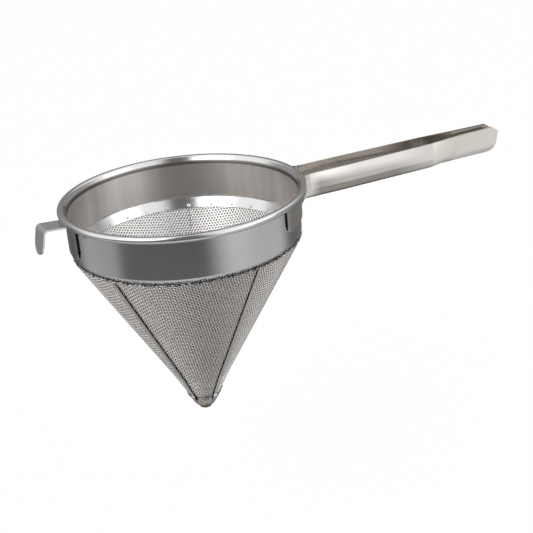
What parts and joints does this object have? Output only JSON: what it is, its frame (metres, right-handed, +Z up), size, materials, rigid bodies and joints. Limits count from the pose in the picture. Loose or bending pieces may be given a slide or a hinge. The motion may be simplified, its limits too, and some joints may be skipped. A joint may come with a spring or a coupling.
{
  "type": "chinois_strainer",
  "caption": "Conical chinois strainer with a mesh cone in a steel collar, a long folded sheet handle and a hook that rests on a pot's rim, for straining stocks and sauces",
  "frame": {"origin": "On the cone's axis, in the plane of the rolled rim's underside, where the rim rests on a stand or a pot", "axes": "+X points along the handle, +Y to the left when looking along the handle from above, +Z up, the cone points to -Z"},
  "size_m": [0.4056, 0.2032, 0.2037],
  "materials": {
    "collar_steel": "polished stainless sheet with a fine turned grain round the collar",
    "sieve_steel": "bright stainless strip and punched sheet",
    "mesh_steel": "woven stainless wire, bright crowns and dark gaps",
    "handle_steel": "satin stainless sheet, brushed along its length",
    "braze_brass": "dull brass braze with heat stain"
  },
  "bodies": {
    "root": {"collar": "collar_steel", "rim_wire": "collar_steel", "perforated_cone": "sieve_steel", "fine_mesh_cone": "mesh_steel", "guard_mesh_cone": "mesh_steel", "rib_handle": "sieve_steel", "rib_back_handle_side": "sieve_steel", "rib_back_hook_side": "sieve_steel", "rib_front_hook_side": "sieve_steel", "rib_front_handle_side": "sieve_steel", "tip_cap": "sieve_steel", "tip_braze": "braze_brass", "handle": "handle_steel", "pan_hook": "handle_steel"}
  },
  "joints": []
}
